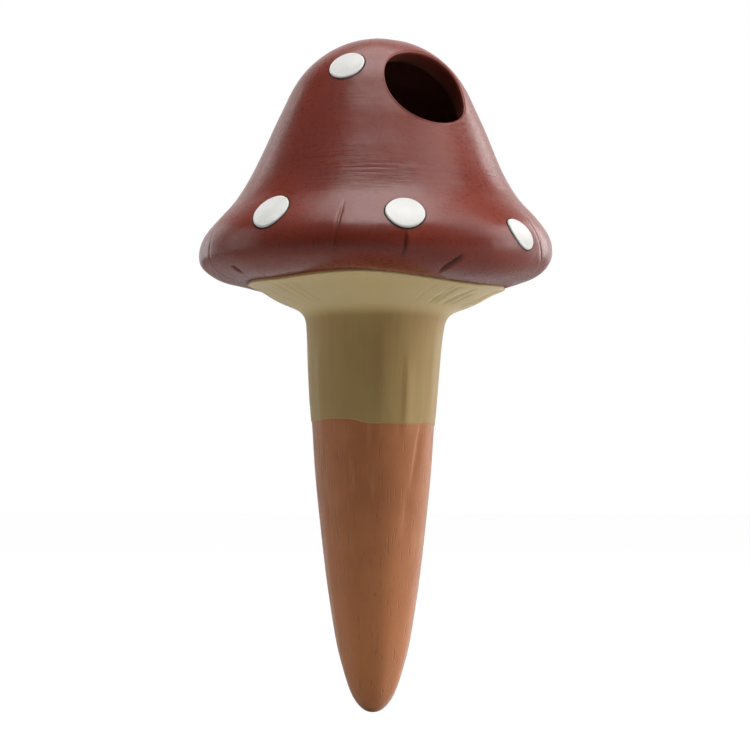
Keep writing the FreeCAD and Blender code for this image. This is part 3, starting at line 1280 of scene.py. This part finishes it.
class GeometryTree:
    """Geometry node tree with named inputs, applied once to a piece."""

    def __init__(self, name: str) -> None:
        """Start an empty tree with a geometry input and output.

        Args:
            name: the tree's name.
        """
        self.tree = bpy.data.node_groups.new(name, "GeometryNodeTree")
        self.book = NodeBook(self.tree)
        for way in ("INPUT", "OUTPUT"):
            self.tree.interface.new_socket(
                "Geometry", in_out=way, socket_type="NodeSocketGeometry"
            )
        self.values: dict[str, object] = {}
        self.entry = self.tree.nodes.new("NodeGroupInput")
        self.exit = self.tree.nodes.new("NodeGroupOutput")

    def input(self, name: str, value: object, kind: str) -> Socket:
        """Add a named input.

        Args:
            name: the input's name.
            value: what the modifier sets it to.
            kind: what its socket type is called after NodeSocket.

        Returns:
            The output that carries it in the tree.
        """
        made = self.tree.interface.new_socket(
            name, in_out="INPUT", socket_type="NodeSocket" + kind
        )
        self.values[made.identifier] = value
        return self.entry.outputs[made.identifier]

    def numbers(self, values: dict[str, float]) -> list[Socket]:
        """Add named inputs for numbers."""
        return [self.input(name, value, "Float") for name, value in values.items()]

    def shape(self, name: str, piece: Piece) -> Socket:
        """Add a named input for an object, and read its geometry."""
        inputs = {"Object": self.input(name, piece, "Object")}
        return self.book.node("GeometryNodeObjectInfo", inputs).outputs["Geometry"]

    def moved(self, geometry: Socket, **how: Socket) -> Socket:
        """Geometry with its points put elsewhere, by Position or Offset."""
        return self.book.node("GeometryNodeSetPosition", {"Geometry": geometry, **how}).outputs[0]

    def finish(self, geometry: Socket, material: Socket) -> None:
        """End the tree with real geometry and its material.

        Args:
            geometry: the geometry.
            material: the material's input.
        """
        real = self.book.node("GeometryNodeRealizeInstances", {0: geometry}).outputs[0]
        inputs = {"Geometry": real, "Material": material}
        dressed = self.book.node("GeometryNodeSetMaterial", inputs)
        self.tree.links.new(dressed.outputs[0], self.exit.inputs[0])

    def baked(self, piece: Piece) -> Piece:
        """Run the tree on a piece and keep the plain mesh.

        Args:
            piece: the object that the tree starts from.

        Returns:
            The same object with its new mesh and no modifier.
        """
        modifier = piece.modifiers.new(self.tree.name, "NODES")
        modifier.node_group = self.tree
        for identifier, value in self.values.items():
            modifier[identifier] = value
        bpy.context.view_layer.update()
        evaluated = piece.evaluated_get(bpy.context.evaluated_depsgraph_get())
        mesh = bpy.data.meshes.new_from_object(evaluated)
        piece.modifiers.remove(modifier)
        old = piece.data
        piece.data = mesh
        bpy.data.meshes.remove(old)
        mesh.name = piece.name
        return piece


@dataclass(frozen=True)
class GillGrooves:
    """Uneven radial grooves under the cap, like faint gills."""

    around: float = 7.5
    detail: float = 1.0
    depth: float = 0.00030
    sharpness: float = 0.035
    drift: float = 2.5
    gap_scale: float = 2.3
    gaps: Pair = (0.40, 0.58)
    foot_radius: float = 0.0185
    foot_fade: float = 0.0025
    rim_radius: float = 0.0300
    rim_fade: float = 0.002
    seed: float = 11.0

    def applied(self, coat: Piece, finish: Material) -> Piece:
        """Press the grooves into the coat.

        Args:
            coat: the khaki coat.
            finish: the coat's material.

        Returns:
            The coat with its grooves and its material.
        """
        made = GeometryTree("gill_grooves")
        book = made.book
        around, depth, sharpness, foot, rim, seed = made.numbers({
            "Grooves around": self.around, "Depth": self.depth, "Sharpness": self.sharpness,
            "Foot radius": self.foot_radius, "Rim radius": self.rim_radius, "Seed": self.seed,
        })
        material = made.input("Finish", finish, "Material")
        across, ahead = book.parts(book.node("GeometryNodeInputPosition").outputs[0])[:2]
        flat = book.node("ShaderNodeCombineXYZ", {0: across, 1: ahead}).outputs[0]
        length = book.node("ShaderNodeVectorMath", {0: flat}, operation="LENGTH")
        out = length.outputs["Value"]
        tall = book.node("ShaderNodeCombineXYZ", {2: book.product(out, self.drift)}).outputs[0]
        aim = book.vector("ADD", book.vector("NORMALIZE", flat), tall)
        pattern = book.seeded(aim, seed, around, self.detail).outputs[0]
        off = book.sum("ABSOLUTE", book.sum("SUBTRACT", pattern, 0.5))
        valley = book.sum("SUBTRACT", 1.0, book.sum("DIVIDE", off, sharpness), clamp=True)
        chosen = book.ramp(book.seeded(aim, seed, self.gap_scale).outputs[0], *self.gaps)
        from_foot = book.ramp(out, foot, book.sum("ADD", foot, self.foot_fade))
        to_rim = book.ramp(out, rim, book.sum("SUBTRACT", rim, self.rim_fade))
        share = book.product(book.product(valley, chosen), book.product(from_foot, to_rim))
        inwards = book.product(book.product(share, depth), -1.0)
        normal = book.node("GeometryNodeInputNormal").outputs[0]
        facing_down = book.sum("LESS_THAN", book.parts(normal)["Z"], 0.0)
        offset = book.vector("SCALE", normal, book.product(inwards, facing_down))
        made.finish(made.moved(made.entry.outputs[0], Offset=offset), material)
        return made.baked(coat)


@dataclass(frozen=True)
class Dots:
    """Thick white dots laid on the cap's skin, each with a raised rim and a skirt of painted shade
    round its edge.
    """

    # Azimuth and rise of the dot's axis in degrees, width and height as shares, and twist
    brim_dots: Table = (
        (-37.5, 51, 1.03, 1.15, 10), (8.8, 42, 1.03, 1.06, -10), (50.3, 14, 1.09, 0.62, -31),
        (97, 31, 1.0, 1.0, 0), (146, 20, 1.02, 0.94, 20), (193, 40, 0.96, 1.0, -15),
        (247, 27, 1.0, 0.96, 30),
    )
    crown_dots: Table = (
        (-23.2, 33, 1.0, 1.0, 0), (156, 38, 0.97, 1.02, 10)
    )
    # Distance from the axis and height of each round stretch's middle, and its radius
    roll: Triple = (0.0343, 0.0396, 0.0074)
    crown: Triple = (0.0, 0.0683, 0.0236)
    radius: float = 0.0045
    rise: float = 0.00036
    throw: float = 0.012
    ray_length: float = 0.05
    turns: int = 72
    blank_scale: float = 0.1
    wobble: float = 0.0003
    wobble_scale: float = 150.0
    seed: float = 5.0
    lean: Lean = Lean()
    # Share of the radius and share of the rise, from the middle to the edge and back under
    profile: tuple[Pair, ...] = (
        (0.10, 0.86), (0.25, 0.86), (0.40, 0.86), (0.55, 0.86), (0.68, 0.87), (0.78, 0.92),
        (0.84, 0.99), (0.875, 1.0), (0.91, 0.84), (0.93, 0.5), (0.938, 0.10), (0.965, 0.08),
        (1.0, 0.07), (1.015, -0.25), (1.0, -0.6), (0.6, -0.6), (0.2, -0.6),
    )

    def blank(self) -> Piece:
        """Make the blank of one dot: a closed lens whose points know their rise and reach.

        Returns:
            The blank.
        """
        angles = np.linspace(0.0, FULL_TURN, self.turns, endpoint=False)
        reaches, rises = np.array(self.profile).T
        rings = [
            np.column_stack([
                reach * np.cos(angles), reach * np.sin(angles),
                np.full(self.turns, rise * self.blank_scale),
            ])
            for reach, rise in self.profile
        ]
        blank = mesh_of_rows("dot_blank", rings, round_again=False, poles=True)
        mark(blank, "rise", np.append(np.repeat(rises, self.turns), rises[[0, -1]]))
        mark(blank, "reach", np.append(np.repeat(reaches, self.turns), [0.0, 0.0]))
        return blank

    def seats(self) -> Piece:
        """Make one point for each dot, outside the cap on the dot's axis.

        Returns:
            The points, each with its aim, its turn and its stretch.
        """
        places, aims, turns, stretches = [], [], [], []
        for dots, (out, height, radius) in (
            (self.brim_dots, self.roll), (self.crown_dots, self.crown),
        ):
            for azimuth, rise, wide, tall, twist in dots:
                azimuths, up = np.radians([azimuth]), math.radians(rise)
                start = round_places(azimuths, out, height)
                aim = round_places(azimuths, math.cos(up), math.sin(up))
                ends = np.concatenate([start + aim * radius, start + aim * (radius + self.throw)])
                near, far = self.lean.applied(ends)
                places.append(far.tolist())
                aims.append((far - near) / np.linalg.norm(far - near))
                facing = Vector(aims[-1]).to_track_quat("Z", "Y").to_matrix()
                twisted = facing @ Matrix.Rotation(math.radians(twist), 3, "Z")
                turns.append(list(twisted.to_euler()))
                stretches.append([wide * self.radius, tall * self.radius, MM])
        mesh = bpy.data.meshes.new("white_dots_laid")
        mesh.from_pydata(places, [], [])
        for name, values in (("aim", aims), ("turn", turns), ("stretch", stretches)):
            attribute = mesh.attributes.new(name, "FLOAT_VECTOR", "POINT")
            attribute.data.foreach_set("vector", np.concatenate(values).astype(np.float32))
        return linked("white_dots_laid", mesh)

    def build(self, cap: Piece) -> Piece:
        """Lay the dots on the cap by rays along their axes.

        Args:
            cap: the finished cap.

        Returns:
            The finished dots, as one piece.
        """
        blank = self.blank()
        made = GeometryTree("laid_dots")
        book = made.book
        rise, wobble, seed = made.numbers(
            {"Rise": self.rise, "Wobble": self.wobble, "Seed": self.seed}
        )
        skin, shape = made.shape("Skin", cap), made.shape("Blank", blank)
        material = made.input("Finish", DotPaint().material(), "Material")
        facing = book.node("FunctionNodeEulerToRotation", {0: book.stored("turn")}).outputs[0]
        inputs = {
            "Points": made.entry.outputs[0], "Instance": shape, "Rotation": facing,
            "Scale": book.stored("stretch"),
        }
        placed = book.node("GeometryNodeInstanceOnPoints", inputs).outputs[0]
        real = book.node("GeometryNodeRealizeInstances", {0: placed}).outputs[0]
        place = book.node("GeometryNodeInputPosition").outputs[0]
        waves = book.seeded(place, seed, self.wobble_scale).outputs["Color"]
        centred = book.vector("ADD", waves, (-0.5, -0.5, -0.5))
        uneven = made.moved(real, Offset=book.vector("SCALE", centred, wobble))
        back = book.vector("SCALE", book.stored("aim"), -1.0)
        inputs = {"Target Geometry": skin, "Ray Direction": back, "Ray Length": self.ray_length}
        hit = book.node("GeometryNodeRaycast", inputs).outputs
        risen = book.product(book.stored("rise", "FLOAT"), rise)
        lift = book.vector("SCALE", hit["Hit Normal"], risen)
        laid = made.moved(uneven, Position=book.vector("ADD", hit["Hit Position"], lift))
        made.finish(laid, material)
        piece = made.baked(self.seats())
        bpy.data.objects.remove(blank)
        return piece


# Stage


@dataclass(frozen=True)
class View:
    """Camera of the photo: where it stands and how long its lens is."""

    place: Triple = (0.0004, -0.400, -0.01676)
    tilt: float = 4.0
    roll: float = -0.15
    lens: float = 81.27
    sensor: float = 36.0

    def build(self) -> None:
        """Put the camera in the scene."""
        data = bpy.data.cameras.new("photo_view")
        data.lens = self.lens
        data.sensor_width = self.sensor
        camera = linked("photo_view", data)
        camera.location = self.place
        camera.rotation_euler = (math.radians(90.0 + self.tilt), math.radians(self.roll), 0.0)
        bpy.context.scene.camera = camera


@dataclass(frozen=True)
class SoftLight:
    """Plain soft box, by where it hangs, its size and how bright its face is."""

    name: str
    place: Triple
    size: Pair
    brightness: float
    target: Triple = (0.0, 0.0, 0.03)

    def build(self) -> None:
        """Hang the soft box, turned to the object."""
        data = bpy.data.lights.new(self.name, "AREA")
        data.shape = "RECTANGLE"
        data.size, data.size_y = self.size
        data.energy = self.brightness * math.pi * self.size[0] * self.size[1]
        lamp = linked(self.name, data)
        lamp.location = self.place
        away = Vector(self.place) - Vector(self.target)
        lamp.rotation_euler = away.to_track_quat("Z", "Y").to_euler()
        lamp.visible_camera = False


@dataclass(frozen=True)
class Studio:
    """Plain pale floor, pale surround and soft lights."""

    floor_height: float = -0.0679
    floor_size: float = 8.0
    floor_share: float = 0.93
    floor_glow: float = 1.06
    floor_gloss: float = 0.06
    floor_colour: Triple = (0.46, 0.46, 0.46)
    ambient: float = 0.02
    behind_glow: tuple[float, ...] = (0.40, 0.95, 0.04, 1.0)
    lights: tuple[SoftLight, ...] = (
        SoftLight("back_top_light", (0.0, 0.2, 0.9), (0.6, 0.4), 3.4),
        SoftLight("top_light", (0.0, -0.2, 0.9), (0.6, 0.4), 7.2),
        SoftLight("front_top_light", (0.0, -0.6, 0.9), (0.6, 0.4), 0.8),
        SoftLight("right_top_light", (0.6, -0.2, 0.9), (0.6, 0.6), 3.0),
        SoftLight("left_top_light", (-0.6, -0.2, 0.9), (0.6, 0.6), 0.25),
        SoftLight("right_high_light", (1.1, -0.35, 0.6), (0.6, 0.6), 1.9),
        SoftLight("right_light", (0.9, 0.05, 0.12), (0.4, 1.0), 5.6),
        SoftLight("right_back_light", (0.7, 0.6, 0.12), (0.4, 1.0), 3.4),
        SoftLight("left_light", (-0.9, 0.05, 0.12), (0.4, 1.0), 1.65),
        SoftLight("left_back_light", (-0.7, 0.6, 0.12), (0.4, 1.0), 1.3),
    )

    @staticmethod
    def rays(book: NodeBook) -> tuple[Socket, Socket]:
        """Tell apart the rays that meet the stage.

        Args:
            book: the node book of a stage material.

        Returns:
            Outputs for the rays of the camera and for the glossy ones.
        """
        path = book.node("ShaderNodeLightPath").outputs
        seen = book.sum("MAXIMUM", path[Ray.CAMERA.value], path[Ray.THROUGH.value])
        return seen, path[Ray.GLOSSY.value]

    def build_world(self) -> None:
        """Dim surround for the object, white for the camera and brighter behind for its gloss."""
        world = bpy.data.worlds.new("pale_surround")
        bpy.context.scene.world = world
        world.use_nodes = True
        book = NodeBook(world.node_tree)
        seen, glossy = self.rays(book)
        aim = book.node("ShaderNodeTexCoord").outputs["Generated"]
        gloss = book.ramp(book.parts(aim)["Y"], *self.behind_glow)
        dim = book.mixed(glossy, rgba((self.ambient,) * 3), gloss)
        backdrop = world.node_tree.nodes["Background"]
        book.put(backdrop.inputs["Color"], book.mixed(seen, dim, WHITE))

    def build_floor(self) -> Piece:
        """Make the floor, white to the camera but for a faint shadow.

        Returns:
            The floor.
        """
        half = self.floor_size / 2.0
        corners = [(-half, -half), (half, -half), (half, half), (-half, half)]
        mesh = bpy.data.meshes.new("pale_floor")
        mesh.from_pydata([(x, y, self.floor_height) for x, y in corners], [], [(0, 1, 2, 3)])
        floor = linked("pale_floor", mesh)
        material = bpy.data.materials.new("pale_floor")
        material.use_nodes = True
        book = NodeBook(material.node_tree)
        nodes = material.node_tree.nodes
        nodes.remove(nodes["Principled BSDF"])
        paper = book.node("ShaderNodeBsdfDiffuse", {"Color": rgba(self.floor_colour)})
        white = book.node("ShaderNodeEmission", {"Color": WHITE, "Strength": self.floor_glow})
        seen, glossy = self.rays(book)
        share = book.product(seen, self.floor_share)
        share = book.sum("MAXIMUM", share, book.product(glossy, self.floor_gloss))
        inputs = {0: share, 1: paper.outputs[0], 2: white.outputs[0]}
        mixed = book.node("ShaderNodeMixShader", inputs)
        book.put(nodes["Material Output"].inputs["Surface"], mixed.outputs[0])
        mesh.materials.append(material)
        return floor

    def build(self) -> None:
        """Set up the world, the floor and the lights."""
        self.build_world()
        self.build_floor()
        for light in self.lights:
            light.build()
        bpy.context.scene.view_settings.view_transform = "Standard"


def keep(piece: Piece, slot: Slot, *nodes: str) -> None:
    """Ride a finished piece on the body and hide the solids that it stands for.

    Args:
        piece: the finished piece.
        slot: its material slot; not used.
        nodes: the solids that it replaces.
    """
    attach(piece, BODY)
    if nodes:
        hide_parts(*nodes)
    mesh = piece.data
    LOG.info("%s: %d points, %d faces", piece.name, len(mesh.vertices), len(mesh.polygons))


def main() -> None:
    """Build every piece, ride it on the frame, and set up the stage."""
    logging.basicConfig(level=logging.INFO, format="%(name)s %(message)s")
    cap = Cap().build()
    dots = Dots().build(cap)
    stem = Stem()
    clay = stem.build_clay()
    coat = stem.build_coat()
    keep(cap, Slot.CAP, "cap_shell")
    keep(clay, Slot.CLAY, "stem_spike")
    keep(coat, Slot.KHAKI)
    keep(dots, Slot.DOTS, "white_dots")
    Studio().build()
    View().build()


if __name__ == "__main__":
    main()
